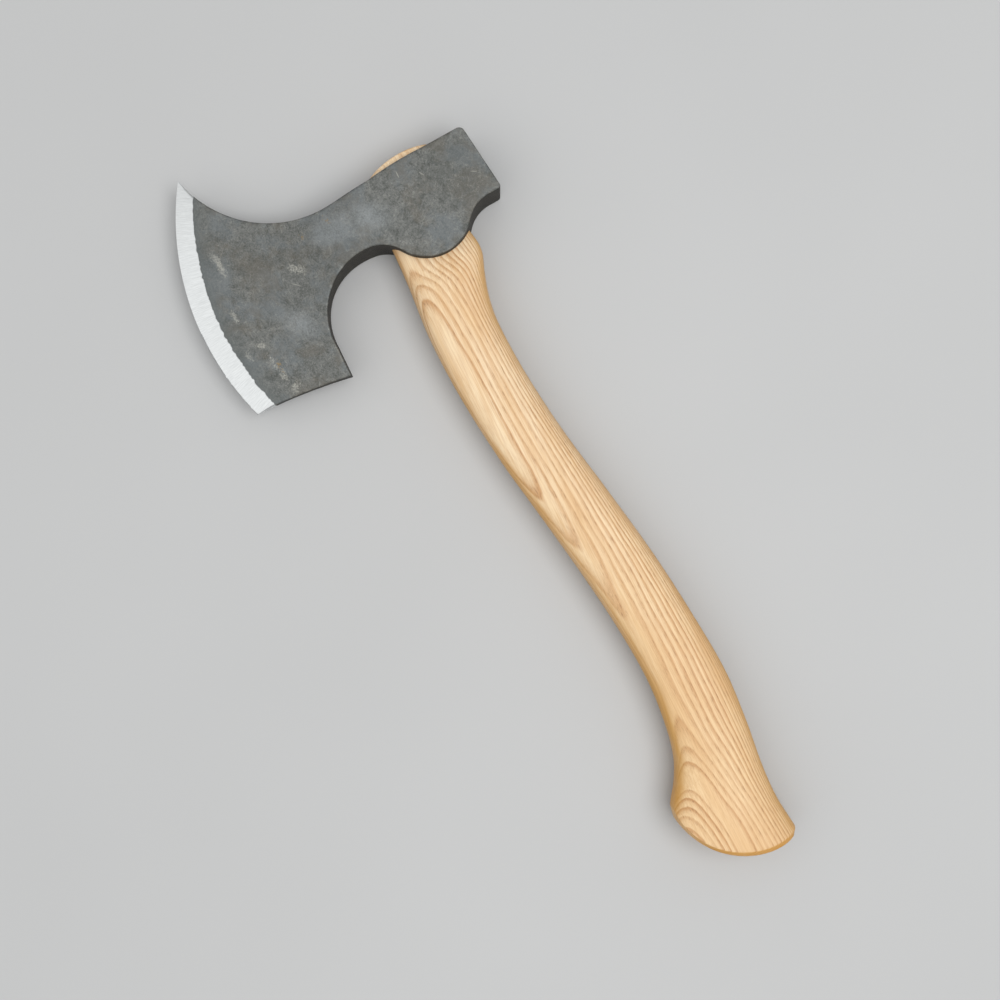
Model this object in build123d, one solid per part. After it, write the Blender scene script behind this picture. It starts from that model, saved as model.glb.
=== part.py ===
from build123d import *

import math
import os

# Carving hatchet: a forged, bearded head wedged onto a curved ash handle. Millimetres.
# It lies on its side on the plane Z = 0. +X runs up the handle towards the top of the head,
# +Y points to the cutting edge and +Z is up through the cheeks.
# The origin is on the lower cheek, under the middle of the eye.

# ---- Head ----
HEAD_THICKNESS = 29.0
MID_Z = HEAD_THICKNESS / 2

# The cutting edge is one arc. Every cross-section of the head is turned about its centre.
EDGE_CENTRE = (-14.8, -14.0)
EDGE_RADIUS = 136.6
BEVEL_WIDTH = 9.8
BEVEL_HALF_THICKNESS = 2.75
CHEEK_FLAT_RADIUS = 46.0
CHEEK_PULL = (62.0, 13.6)  # radius and half thickness of the two points that bend the hollow
BLADE_PULL = (72.0, 3.6)

# Corners of the head seen from the side.
POLL_TOP, POLL_TOP_ROUNDING = (20.8, -35.3), 3.0
POLL_LOW, POLL_LOW_ROUNDING = (-14.4, -39.95), 1.6
EYE_SWELL = (19.6, -14.6), (18.75, 1.5), (16.7, 16.5)  # the top of the head swells over the eye: an arc
TOP_LINE_END = (14.9, 36.0)
TOE = (60.1, 100.2)
HEEL = (-59.7, 115.2)
BEARD_EDGE_MIDDLE = (-60.5, 90.0)
BEARD_CORNER = (-63.3, 65.2)
EDGE_OVERRUN = 30.0  # the outline runs on past the edge arc, which trims it

# The underside: the round notch behind the beard, the lug beside the handle, the poll's lower side.
NOTCH_CENTRE, NOTCH_RADIUS = (-45.0, 33.0), 32.2
LUG_CENTRE, LUG_RADIUS = (-9.0, -2.0), 21.9
POLL_UNDERSIDE_X = -14.8
LUG_MEETS_NOTCH = (-16.1, 18.7)
LUG_MEETS_POLL = (POLL_UNDERSIDE_X, -23.3)
UNDERSIDE_ROUNDING = 18.0
CHEEK_RIM = 0.7  # chamfer round the cheeks

# ---- Eye ----
EYE_TILT = -4.07  # degrees from +X
EYE_CENTRE_Y = 0.35
EYE_LENGTH, EYE_WIDTH = 36.4, 17.0
EYE_TOP_LENGTH, EYE_TOP_WIDTH = 38.2, 19.4  # it flares towards the top, so that the wedges lock it
EYE_BOTTOM, EYE_WAIST, EYE_TOP = -45.0, 2.0, 26.0  # stations along the eye's axis

# ---- Crown and wedges ----
CROWN_CENTRE, CROWN_RADIUS = (-21.3, -4.5), 45.0
CROWN_ROUNDING = 1.2
WEDGE_START = 27.0  # X of the wedges' uncut tops, above the crown
WOODEN_TOP, WOODEN_TIP, WOODEN_LENGTH = 4.4, 0.8, 36.0  # thickness, thickness, length
STEEL_TOP, STEEL_TIP, STEEL_LENGTH = 3.4, 0.7, 21.0
STEEL_WIDTH = 22.0
STEEL_Y = -2.5
STEEL_TURN = 38.0  # degrees between the two wedges
BARB_COUNT, BARB_DEPTH = 3, 0.35

# ---- Handle ----
# The belly faces the blade and the back faces away: (x, y) points along each, and (x, thickness).
BELLY_LINE = [
    (-8, 20.4), (-34, 21.2), (-64, 23.2), (-96, 22.2), (-132, 18.2), (-168, 12.0), (-204, 6.0),
    (-236, 2.0), (-262, 0.6), (-284, 2.3), (-300, 5.6), (-311, 10.8), (-320, 17.0), (-328, 21.2),
    (-340, 23.4), (-372, 24.0),
]
BACK_LINE = [
    (-8, -16.6), (-22, -17.2), (-31, -18.8), (-37, -18.5), (-45, -15.7), (-56, -12.5), (-68, -10.7),
    (-84, -10.8), (-104, -12.2), (-134, -16.2), (-170, -23.0), (-206, -29.2), (-240, -33.3),
    (-272, -35.7), (-298, -34.3), (-322, -31.7), (-338, -31.2), (-352, -32.7), (-372, -35.5),
]
THICKNESS_LINE = [
    (-8, 18.2), (-31, 18.2), (-44, 22.4), (-64, 24.0), (-110, 24.0), (-180, 25.2), (-240, 25.4),
    (-290, 24.2), (-318, 26.2), (-342, 28.75), (-372, 28.75),
]
STATIONS = [
    -12, -18, -24, -30, -36, -43, -51, -61, -74, -90, -108, -128, -150, -172, -194, -216, -236,
    -254, -270, -284, -296, -306, -314, -321, -327, -333, -340, -348, -357, -366,
]
SECTION_POWER = 2.8  # 2 makes an ellipse, and more makes flatter sides
SECTION_POINTS = 24

# Seen from the side, the end of the knob is an arc. Its rim is chamfered.
END_CENTRE, END_RADIUS = (-318.7, -22.0), 41.0
END_CHAMFER = 2.8


def smooth(line, x):
    """The value at x of a smooth curve through the line's points (a Catmull-Rom spline)."""
    points = sorted(line)
    last = len(points) - 1

    def slope(i):
        before, after = points[max(i - 1, 0)], points[min(i + 1, last)]
        return (after[1] - before[1]) / (after[0] - before[0])

    i = next(k for k in range(last) if x <= points[k + 1][0])
    (x0, v0), (x1, v1) = points[i], points[i + 1]
    span = x1 - x0
    t = (x - x0) / span
    return (
        (2 * t**3 - 3 * t**2 + 1) * v0
        + (t**3 - 2 * t**2 + t) * span * slope(i)
        + (3 * t**2 - 2 * t**3) * v1
        + (t**3 - t**2) * span * slope(i + 1)
    )


def rounded_corner(outline, corner, radius):
    """The outline with the corner nearest to a point rounded."""
    nearest = min(outline.vertices(), key=lambda v: (Vector(v) - Vector(*corner)).length)
    return fillet(nearest, radius)


def head_outline():
    """The head from the side. It runs past the cutting edge."""
    top_direction = (TOP_LINE_END[0] - EYE_SWELL[2][0], TOP_LINE_END[1] - EYE_SWELL[2][1])
    top_arc = TangentArc(TOP_LINE_END, TOE, tangent=top_direction)
    past_toe = Vector(*TOE) + (top_arc % 1) * EDGE_OVERRUN
    past_heel = (HEEL[0], HEEL[1] + EDGE_OVERRUN)
    notch_top = (NOTCH_CENTRE[0], NOTCH_CENTRE[1] + NOTCH_RADIUS)
    straight_runs = Polyline(
        BEARD_CORNER,
        notch_top,
        NOTCH_CENTRE,
        (POLL_UNDERSIDE_X, LUG_CENTRE[1]),
        (POLL_UNDERSIDE_X, POLL_LOW[1] + 4),
        POLL_LOW,
        POLL_TOP,
        EYE_SWELL[0],
    )
    top_swell = ThreePointArc(*EYE_SWELL)
    top_run = Line(EYE_SWELL[2], TOP_LINE_END)
    beyond_edge = Polyline(TOE, past_toe, (past_toe.X, past_heel[1]), past_heel, HEEL)
    beard_edge = ThreePointArc(HEEL, BEARD_EDGE_MIDDLE, BEARD_CORNER)
    outline = make_face(Curve() + [straight_runs, top_swell, top_run, top_arc, beyond_edge, beard_edge])
    outline -= Pos(*NOTCH_CENTRE) * Circle(NOTCH_RADIUS)
    outline += Pos(*LUG_CENTRE) * Circle(LUG_RADIUS)
    outline = rounded_corner(outline, LUG_MEETS_NOTCH, UNDERSIDE_ROUNDING)
    outline = rounded_corner(outline, LUG_MEETS_POLL, UNDERSIDE_ROUNDING)
    outline = rounded_corner(outline, POLL_LOW, POLL_LOW_ROUNDING)
    return rounded_corner(outline, POLL_TOP, POLL_TOP_ROUNDING)


def head_turning():
    """The head's thickness, as a solid turned about the centre of the cutting edge's arc."""
    cheek = (CHEEK_FLAT_RADIUS, MID_Z)
    shoulder = (EDGE_RADIUS - BEVEL_WIDTH, BEVEL_HALF_THICKNESS)
    outline = [
        Line((0, 0), (0, MID_Z)),
        Line((0, MID_Z), cheek),
        Bezier(cheek, CHEEK_PULL, BLADE_PULL, shoulder),
        Line(shoulder, (EDGE_RADIUS, 0)),
        Line((EDGE_RADIUS, 0), (0, 0)),
    ]
    upper_half = revolve(Plane.XZ * make_face(Wire(outline)), Axis.Z, 360)
    return Pos(*EDGE_CENTRE, MID_Z) * (upper_half + mirror(upper_half, Plane.XY))


def eye_section(station, length, width):
    """The eye's rounded slot across its axis, at a station along the axis."""
    tilt = math.radians(EYE_TILT)
    along = Vector(math.cos(tilt), math.sin(tilt), 0)
    across = Vector(-math.sin(tilt), math.cos(tilt), 0)
    origin = Vector(0, EYE_CENTRE_Y, MID_Z) + along * station
    return Plane(origin=origin, x_dir=across, z_dir=along) * SlotOverall(length, width)


def eye_space():
    """The space inside the eye, run on past both ends of the head."""
    bottom = eye_section(EYE_BOTTOM, EYE_LENGTH, EYE_WIDTH)
    waist = eye_section(EYE_WAIST, EYE_LENGTH, EYE_WIDTH)
    top = eye_section(EYE_TOP, EYE_TOP_LENGTH, EYE_TOP_WIDTH)
    return loft([bottom, waist], ruled=True) + loft([waist, top], ruled=True)


def make_head():
    """The forged steel head, with its eye."""
    blank = extrude(head_outline(), HEAD_THICKNESS)
    faces = blank.faces().sort_by(Axis.Z)
    blank = chamfer(faces[0].edges() + faces[-1].edges(), CHEEK_RIM)
    return (blank & head_turning()) - eye_space()


def eye_filling():
    """Everything that fills the eye, up to the domed crown with its rounded rim."""
    ball = Pos(*CROWN_CENTRE, MID_Z) * Sphere(CROWN_RADIUS)
    filling = eye_space() & ball
    crown_face = filling.faces().sort_by(Axis.X)[-1]
    return fillet(crown_face.edges(), CROWN_ROUNDING)


def make_steel_wedge(filling):
    """The steel wedge, with barbs across both faces, trimmed flush with the crown."""
    flank = [(0, STEEL_TOP / 2)]
    for k in range(1, BARB_COUNT + 1):
        share = k / (BARB_COUNT + 1)
        half = (STEEL_TOP + (STEEL_TIP - STEEL_TOP) * share) / 2
        flank.append((-STEEL_LENGTH * share, half + BARB_DEPTH))
        flank.append((-STEEL_LENGTH * share, half))
    flank.append((-STEEL_LENGTH, STEEL_TIP / 2))
    other_flank = [(x, -z) for x, z in reversed(flank)]
    profile = Polygon(*flank, *other_flank, align=None)
    slab = extrude(Plane.XZ * profile, STEEL_WIDTH / 2, both=True)
    return Pos(WEDGE_START, STEEL_Y, MID_Z) * Rot(STEEL_TURN, 0, 0) * slab & filling


def make_wooden_wedge(filling, steel_wedge):
    """The wooden wedge, as long as the eye, split by the steel one."""
    tip_x = WEDGE_START - WOODEN_LENGTH
    profile = Polygon(
        (WEDGE_START, WOODEN_TOP / 2),
        (tip_x, WOODEN_TIP / 2),
        (tip_x, -WOODEN_TIP / 2),
        (WEDGE_START, -WOODEN_TOP / 2),
        align=None,
    )
    slab = extrude(Plane.XZ * profile, EYE_TOP_LENGTH, both=True)
    return (Pos(0, EYE_CENTRE_Y, MID_Z) * slab & filling) - steel_wedge


def handle_section(x):
    """One cross-section of the handle: a rounded oval, flatter on its sides."""
    belly, back, thickness = (smooth(line, x) for line in (BELLY_LINE, BACK_LINE, THICKNESS_LINE))
    middle, reach = (belly + back) / 2, (belly - back) / 2
    points = []
    for k in range(SECTION_POINTS):
        angle = 2 * math.pi * k / SECTION_POINTS
        across = math.copysign(abs(math.cos(angle)) ** (2 / SECTION_POWER), math.cos(angle))
        up = math.copysign(abs(math.sin(angle)) ** (2 / SECTION_POWER), math.sin(angle))
        points.append((x, middle + reach * across, MID_Z + thickness / 2 * up))
    return make_face(Wire([Spline(points, periodic=True)]))


def past_the_knob():
    """Everything past the arc at the end of the knob."""
    depth = 2 * HEAD_THICKNESS
    block = Box(60, 100, depth, align=(Align.MAX, Align.CENTER, Align.CENTER))
    return Pos(*END_CENTRE, MID_Z) * (block - Cylinder(END_RADIUS, depth))


def make_handle(head, filling, wooden_wedge, steel_wedge):
    """The ash handle: its body seats against the head, and its split tongue fills the eye."""
    body = loft([handle_section(x) for x in STATIONS]) - head - past_the_knob()
    end_face = body.faces().sort_by(Axis.X)[0]
    body = chamfer(end_face.edges(), END_CHAMFER)
    return body + filling - wooden_wedge - steel_wedge


head = make_head()
filling = eye_filling()
steel_wedge = make_steel_wedge(filling)
wooden_wedge = make_wooden_wedge(filling, steel_wedge)
handle = make_handle(head, filling, wooden_wedge, steel_wedge)

os.makedirs("parts", exist_ok=True)
export_step(head, "parts/head.step")
export_step(handle, "parts/handle.step")
export_step(wooden_wedge, "parts/wooden_wedge.step")
export_step(steel_wedge, "parts/steel_wedge.step")
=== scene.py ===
import math

import bmesh
import bpy
import numpy as np
from mathutils import Matrix, Vector, geometry, noise


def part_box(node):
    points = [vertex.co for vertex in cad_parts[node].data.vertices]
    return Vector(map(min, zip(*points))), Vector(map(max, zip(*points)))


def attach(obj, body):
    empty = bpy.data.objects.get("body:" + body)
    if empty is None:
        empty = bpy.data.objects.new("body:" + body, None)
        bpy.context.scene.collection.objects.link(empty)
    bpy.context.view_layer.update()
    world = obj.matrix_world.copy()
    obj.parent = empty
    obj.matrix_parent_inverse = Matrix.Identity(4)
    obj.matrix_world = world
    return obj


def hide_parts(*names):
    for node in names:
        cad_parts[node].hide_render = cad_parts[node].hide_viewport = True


# Carving hatchet lying on its side. Shapes are worked out in millimetres and become metres in new_mesh().
# +X runs up the handle to the top of the head, +Y points to the cutting edge, +Z is up.

MM = 0.001
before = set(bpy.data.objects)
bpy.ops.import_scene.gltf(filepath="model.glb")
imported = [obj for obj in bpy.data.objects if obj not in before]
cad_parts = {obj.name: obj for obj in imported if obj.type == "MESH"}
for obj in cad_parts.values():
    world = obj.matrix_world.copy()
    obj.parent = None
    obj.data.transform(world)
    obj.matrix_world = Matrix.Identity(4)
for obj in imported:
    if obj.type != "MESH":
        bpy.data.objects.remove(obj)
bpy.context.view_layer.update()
head_low, head_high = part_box("head")
MID_Z = (head_low.z + head_high.z) / 2 / MM
HALF_HEAD = (head_high.z - head_low.z) / 2 / MM

# ---- Head dimensions ----
EDGE_CENTRE, EDGE_RADIUS = np.array((-14.8, -14.0)), 136.6
BEVEL_WIDTH, BEVEL_HALF = 9.8, 2.75
CHEEK_FLAT_RADIUS = 46.0
CHEEK_PULL, BLADE_PULL = (62.0, 13.6), (72.0, 3.6)
POLL_TOP, POLL_TOP_ROUNDING = (20.8, -35.3), 3.0
POLL_LOW, POLL_LOW_ROUNDING = (-14.4, -39.95), 1.6
EYE_SWELL = (19.6, -14.6), (18.75, 1.5), (16.7, 16.5)
TOP_LINE_END = (14.9, 36.0)
TOE, HEEL = (60.1, 100.2), (-59.7, 115.2)
BEARD_EDGE_MIDDLE, BEARD_CORNER = (-60.5, 90.0), (-63.3, 65.2)
NOTCH_CENTRE, NOTCH_RADIUS = (-45.0, 33.0), 32.2
LUG_CENTRE, LUG_RADIUS = (-9.0, -2.0), 21.9
POLL_UNDERSIDE_X = -14.8
UNDERSIDE_ROUNDING = 18.0
OUTLINE_STEP, CORNER_STEP = 0.62, 0.35
RIM_RADIUS = 1.1
RIM_RINGS = (0.1, 0.26, 0.5, 0.82, 1.2)
LATTICE_STEP, LATTICE_ROW_STEP = 0.78, 0.78 * 0.866
WALL_ROWS = 20
FORGED_DENTS, FORGED_PITS = 0.16, 0.06
DENT_SIZE, PIT_SIZE = 19.0, 5.5
# The bevel's width, and how strongly its line wavers, at shares of the way from the toe to the heel.
BEVEL_SHARES, BEVEL_WIDTHS = (0, 0.12, 0.3, 0.55, 0.8, 1), (8.7, 9.0, 9.9, 10.3, 10.2, 9.6)
WAVER_SHARES, WAVER_STRENGTHS = (0, 0.18, 0.4, 1), (0.2, 0.35, 1, 1)
UPPER_SEED, LOWER_SEED = 1, 2
RIDGE_POINTS, RIDGE_CLEARANCE = 520, 0.33
CALM_BAND = 14.0  # the hammer marks are fainter this close behind the bevel
RIM_FADE = 3.0
HEAD_CREASE, HANDLE_CREASE, WEDGE_CREASE = 38, 40, 30

# ---- Eye, crown and wedges ----
EYE_TILT = math.radians(-4.07)
EYE_CENTRE_Y = 0.35
EYE_LENGTH, EYE_WIDTH = 36.4, 17.0
EYE_TOP_LENGTH, EYE_TOP_WIDTH = 38.2, 19.4
EYE_BOTTOM, EYE_WAIST, EYE_TOP, PAST_EYE = -45.0, 2.0, 26.0, 32.0
ROUND_POINTS, STRAIGHT_POINTS = 25, 20
CROWN_CENTRE, CROWN_RADIUS = (-21.3, -4.5), 45.0
CROWN_ROUNDING = 1.2
WEDGE_START = 27.0
WOODEN_TOP, WOODEN_TIP, WOODEN_LENGTH = 4.4, 0.8, 36.0
STEEL_TOP, STEEL_TIP, STEEL_LENGTH, STEEL_WIDTH = 3.4, 0.7, 21.0, 22.0
STEEL_Y, STEEL_TURN = -2.5, math.radians(38.0)
BARB_SHARES, BARB_DEPTH, BARB_STEP = (0.25, 0.5, 0.75), 0.35, 0.02
EYE_FOOT = -22.0
EYE_CLEARANCE, SLOT_CLEARANCE = 0.05, 0.07
WOODEN_PROUD, STEEL_SUNK = 0.3, 0.25

# ---- Handle: (x, y) along the belly and the back, and (x, thickness) ----
BELLY_LINE = [
    (-8, 20.4), (-34, 21.2), (-64, 23.2), (-96, 22.2), (-132, 18.2), (-168, 12.0), (-204, 6.0),
    (-236, 2.0), (-262, 0.6), (-284, 2.3), (-300, 5.6), (-311, 10.8), (-320, 17.0), (-328, 21.2),
    (-340, 23.4), (-372, 24.0),
]
BACK_LINE = [
    (-8, -16.6), (-22, -17.2), (-31, -18.8), (-37, -18.5), (-45, -15.7), (-56, -12.5), (-68, -10.7),
    (-84, -10.8), (-104, -12.2), (-134, -16.2), (-170, -23.0), (-206, -29.2), (-240, -33.3),
    (-272, -35.7), (-298, -34.3), (-322, -31.7), (-338, -31.2), (-352, -32.7), (-372, -35.5),
]
THICKNESS_LINE = [
    (-8, 18.2), (-31, 18.2), (-44, 22.4), (-64, 24.0), (-110, 24.0), (-180, 25.2), (-240, 25.4),
    (-290, 24.2), (-318, 26.2), (-342, 28.75), (-372, 28.75),
]
SECTION_POWER = 2.8
END_CENTRE, END_RADIUS = np.array((-318.7, -22.0)), 41.0
END_CHAMFER = 2.8
STRIP_START, STRIP_ROWS, STRIP_END = 0.22, (0.36, 0.5, 0.64), 0.78  # shares of the chamfer's width
RIM_SOFTNESS = 0.7
HANDLE_TOP_X, BEND_START_X, PAST_KNOB_X = -12.0, -272.0, -366.0
LINE_SAMPLES, STRAIGHT_STATIONS, BENT_STATIONS = 1457, 250, 76
AROUND = 128

# ---- Wood ----
# Growth rings run round a distant line, the pith: its Y and Z, and how far Y shifts along X.
RING_PITH, RING_SLOPE = (-91.0, -201.0), -0.055
RING_SPACING, RING_START = 1.2, 250.4
WIDE_RING_START, WIDE_RING_EXTRA = 251.3, 2.4  # one good year
WEDGE_PITH, WEDGE_RING_SPACING = (30.0, -40.0), 1.6
WOOD_CREAM = (0.93, 0.755, 0.51)
WOOD_HONEY = (0.84, 0.61, 0.345)
WOOD_TAN = (0.76, 0.50, 0.25)
WOOD_LINE = (0.53, 0.265, 0.10)
WOOD_PORE = (0.30, 0.14, 0.06)
# Painted shade: the orange painted on the handle's sides where they turn away from the light.
WOOD_SHADE_ORANGE = (0.60, 0.31, 0.065)
WOOD_END = (0.62, 0.28, 0.02)
WEDGE_BROWN = (0.36, 0.17, 0.07)
WEDGE_LINE = (0.16, 0.065, 0.025)
KNOB_DISTANCE = 340.0  # from the eye to the knob, over which the wood changes from cream to honey
# Painted shade: how much darker and more orange the sides of the belly and the back are painted, at X along
# the handle, where they turn away from the light.
BELLY_PAINTED_SHADE = (-360, -300, -160, -60, -14), (0.8, 1.25, 1.0, 0.35, 0.4)
BACK_PAINTED_SHADE = (-360, -330, -150, -80, -40), (1.0, 0.6, 0.4, 0.7, 1.0)

# ---- Steel ----
SCALE_DARK = (0.065, 0.07, 0.063)
SCALE_LIGHT = (0.20, 0.205, 0.195)
SCALE_BLUE = (0.17, 0.195, 0.21)
SCALE_BROWN = (0.13, 0.115, 0.09)
SCALE_FLAKE = (0.38, 0.375, 0.335)
SCALE_RUST = (0.30, 0.20, 0.075)
SCALE_QUENCHED = (0.115, 0.13, 0.13)
# Painted shade: near-black colours for the upright walls of the head, as if shaded from the lamps above.
PAINTED_WALL_SHADE_DARK, PAINTED_WALL_SHADE_PALE = (0.016, 0.014, 0.01), (0.055, 0.052, 0.045)
# Painted sheen: the lighter bluish colour of patches where slopes catch the light.
SCALE_PAINTED_SHEEN = (0.25, 0.27, 0.275)
STEEL_GROUND_DARK = (0.62, 0.64, 0.64)
STEEL_GROUND_LIGHT = (0.84, 0.86, 0.86)
# Places on the cheek, in millimetres: X, Y, half length, half width and turn in degrees.
FLAKED_PLACES = [
    (-31, 98, 6, 3.5, 60), (-40, 97, 9, 3, 8), (-48, 95, 8, 4, 10), (-56, 92, 8, 5, -35),
    (-33, 106, 7, 3, 5), (14, 100, 16, 4, 8), (-12, 104, 9, 3, 10), (-6, 66, 14, 5, 50),
]
# Painted sheen: lighter patches on the neck and the blade where they slope towards the light.
PAINTED_SHEEN_PLACES = [(0, 24, 17, 11, 60), (3, 42, 18, 12, 85), (-30, 76, 16, 9, 30)]
# Darker towards the poll.
DARKER_PLACES = [(2, -24, 26, 24, 0)]
RUSTED_PLACES = [(9, 43, 6, 3.5, 20), (7.5, 57, 5, 3, 0), (-44, 95, 9, 3.0, 0)]
SCRATCHED_PLACES = [
    (12.6, 2.6, 3.0, 0.45, 0), (8, -8, 2.6, 0.35, 35), (-2, -31, 2.8, 0.35, 62), (-12, 70, 5, 0.3, 48),
]

# ---- Stage ----
FLOOR_LOW, FLOOR_HIGH = (0.50, 0.505, 0.505), (0.55, 0.555, 0.555)
SKY_OVERHEAD, SKY_HORIZON = 0.62, 0.16
FLOOR_SIZE, FLOOR_MIDDLE = 14, (-0.15, 0.03, 0)
# Round lamps: name, place, width, power and the point that each one faces.
LAMPS = [
    ("edge_side", (0.15, 1.15, 1.35), 2.4, 7, (-0.05, 0.06, 0)),
    ("overhead", (-0.45, -0.35, 1.5), 1.2, 14, (-0.15, 0, 0)),
]
CAMERA_OVER, CAMERA_TURN = (-0.1494, 0.0268), math.radians(-116)
CAMERA_HEIGHT = 0.700
VIEW_WIDTH = 0.490
SENSOR = 36


# ---- Curves ----
def smooth(line, x):
    """The value at x of a Catmull-Rom curve through the line's points."""
    points = sorted(line)
    last = len(points) - 1

    def slope(i):
        before, after = points[max(i - 1, 0)], points[min(i + 1, last)]
        return (after[1] - before[1]) / (after[0] - before[0])

    i = next(k for k in range(last) if x <= points[k + 1][0])
    (x0, v0), (x1, v1) = points[i], points[i + 1]
    span = x1 - x0
    t = (x - x0) / span
    return (
        (2 * t**3 - 3 * t**2 + 1) * v0
        + (t**3 - 2 * t**2 + t) * span * slope(i)
        + (3 * t**2 - 2 * t**3) * v1
        + (t**3 - t**2) * span * slope(i + 1)
    )


def line_points(a, b):
    """Points from a towards b, without b."""
    a, b = np.array(a, float), np.array(b, float)
    n = max(1, round(np.linalg.norm(b - a) / OUTLINE_STEP))
    return [a + (b - a) * k / n for k in range(n)]


def arc_points(centre, a, b, anticlockwise, step=OUTLINE_STEP):
    """Points round a centre from a towards b, without b."""
    centre, a, b = (np.array(p, float) for p in (centre, a, b))
    start = math.atan2(*(a - centre)[::-1])
    turn = math.atan2(*(b - centre)[::-1]) - start
    turn = turn % math.tau if anticlockwise else -((-turn) % math.tau)
    r0, r1 = np.linalg.norm(a - centre), np.linalg.norm(b - centre)
    n = max(1, round(abs(turn) * r0 / step))
    found = []
    for k in range(n):
        r = r0 + (r1 - r0) * k / n
        angle = start + turn * k / n
        found.append(centre + r * np.array((math.cos(angle), math.sin(angle))))
    return found


def circle_through(a, b, c):
    """The centre of the circle through three points."""
    a, b, c = (np.array(p, float) for p in (a, b, c))
    rows = np.array((b - a, c - a)) * 2
    return np.linalg.solve(rows, (b @ b - a @ a, c @ c - a @ a))


def tangent_centre(start, direction, end):
    """The centre of the arc that leaves start along direction and passes through end."""
    start, direction, end = (np.array(p, float) for p in (start, direction, end))
    normal = np.array((-direction[1], direction[0])) / np.linalg.norm(direction)
    chord = end - start
    return start + normal * (chord @ chord) / (2 * normal @ chord)


def meeting_of_circles(c0, r0, c1, r1, side):
    """One of the two points at distance r0 from c0 and r1 from c1."""
    c0, c1 = np.array(c0, float), np.array(c1, float)
    gap = c1 - c0
    d = np.linalg.norm(gap)
    along = (d * d + r0 * r0 - r1 * r1) / (2 * d)
    across = math.sqrt(r0 * r0 - along * along)
    unit = gap / d
    return c0 + unit * along + side * across * np.array((-unit[1], unit[0]))


def corner_arc(before, corner, after, radius, anticlockwise):
    """Points that round a corner, and the tangent points where they start and end."""
    before, corner, after = (np.array(p, float) for p in (before, corner, after))
    u = (before - corner) / np.linalg.norm(before - corner)
    v = (after - corner) / np.linalg.norm(after - corner)
    half = math.acos(u @ v) / 2
    reach = radius / math.tan(half)
    a, b = corner + u * reach, corner + v * reach
    bisector = (u + v) / np.linalg.norm(u + v)
    centre = corner + bisector * radius / math.sin(half)
    return arc_points(centre, a, b, anticlockwise, CORNER_STEP), a, b


def head_outline():
    """The head from the side as closed points, anticlockwise, and which of them are on the cutting edge."""
    notch_top = (NOTCH_CENTRE[0], NOTCH_CENTRE[1] + NOTCH_RADIUS)
    r = UNDERSIDE_ROUNDING
    fillet_a = meeting_of_circles(LUG_CENTRE, LUG_RADIUS + r, NOTCH_CENTRE, NOTCH_RADIUS - r, -1)
    lug_a = np.array(LUG_CENTRE) + (fillet_a - LUG_CENTRE) * LUG_RADIUS / (LUG_RADIUS + r)
    notch_a = np.array(NOTCH_CENTRE) + (fillet_a - NOTCH_CENTRE) * NOTCH_RADIUS / (NOTCH_RADIUS - r)
    fillet_x = POLL_UNDERSIDE_X - r
    drop = math.sqrt((LUG_RADIUS + r) ** 2 - (LUG_CENTRE[0] - fillet_x) ** 2)
    fillet_b = np.array((fillet_x, LUG_CENTRE[1] - drop))
    lug_b = np.array(LUG_CENTRE) + (fillet_b - LUG_CENTRE) * LUG_RADIUS / (LUG_RADIUS + r)
    underside = (POLL_UNDERSIDE_X, fillet_b[1])
    low_arc, low_a, low_b = corner_arc(underside, POLL_LOW, POLL_TOP, POLL_LOW_ROUNDING, True)
    top_arc, top_a, top_b = corner_arc(POLL_LOW, POLL_TOP, TOP_LINE_END, POLL_TOP_ROUNDING, True)
    top_direction = np.subtract(TOP_LINE_END, EYE_SWELL[2])
    sweep_centre = tangent_centre(TOP_LINE_END, top_direction, TOE)
    beard_centre = circle_through(HEEL, BEARD_EDGE_MIDDLE, BEARD_CORNER)
    edge = arc_points(EDGE_CENTRE, TOE, HEEL, True)
    before = (
        low_arc
        + line_points(low_b, top_a)
        + top_arc
        + line_points(top_b, EYE_SWELL[0])
        + arc_points(circle_through(*EYE_SWELL), EYE_SWELL[0], EYE_SWELL[2], True)
        + line_points(EYE_SWELL[2], TOP_LINE_END)
        + arc_points(sweep_centre, TOP_LINE_END, TOE, False)
    )
    after = (
        arc_points(beard_centre, HEEL, BEARD_CORNER, False)
        + line_points(BEARD_CORNER, notch_top)
        + arc_points(NOTCH_CENTRE, notch_top, notch_a, False)
        + arc_points(fillet_a, notch_a, lug_a, False)
        + arc_points(LUG_CENTRE, lug_a, lug_b, True)
        + arc_points(fillet_b, lug_b, underside, False)
        + line_points(underside, low_a)
    )
    points = np.array(before + edge + after)
    on_edge = np.zeros(len(points), bool)
    on_edge[len(before):len(before) + len(edge) + 1] = True
    return points, on_edge


# ---- Head surface ----
def blade_half_thickness(radius):
    """Half the forged thickness at a distance from the centre of the edge arc."""
    t = np.linspace(0, 1, 300)[:, None]
    shoulder = (EDGE_RADIUS - BEVEL_WIDTH, BEVEL_HALF)
    corners = (CHEEK_FLAT_RADIUS, HALF_HEAD), CHEEK_PULL, BLADE_PULL, shoulder
    p0, p1, p2, p3 = (np.array(p) for p in corners)
    curve = (1 - t) ** 3 * p0 + 3 * (1 - t) ** 2 * t * p1 + 3 * (1 - t) * t * t * p2 + t**3 * p3
    return np.interp(radius, curve[:, 0], curve[:, 1])


def noise_at(points, size, seed):
    """Smooth noise between about -1 and 1, with features of a size."""
    shift = Vector((seed * 17.3, seed * 7.1, seed * 3.7))
    return np.array([noise.noise(Vector(p) / size + shift) for p in points])


def flat(points):
    """Plan points with a third coordinate of 0."""
    return np.column_stack((points, np.zeros(len(points))))


def forged_relief(points, seed):
    """Hammer marks sunk into the forged faces, which stay below 0: broad dents, and small ones."""
    flat_points = flat(points)
    dents = FORGED_DENTS * (noise_at(flat_points, DENT_SIZE, seed) - 1)
    return dents + FORGED_PITS * (noise_at(flat_points, PIT_SIZE, seed + 3) - 1)


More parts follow.
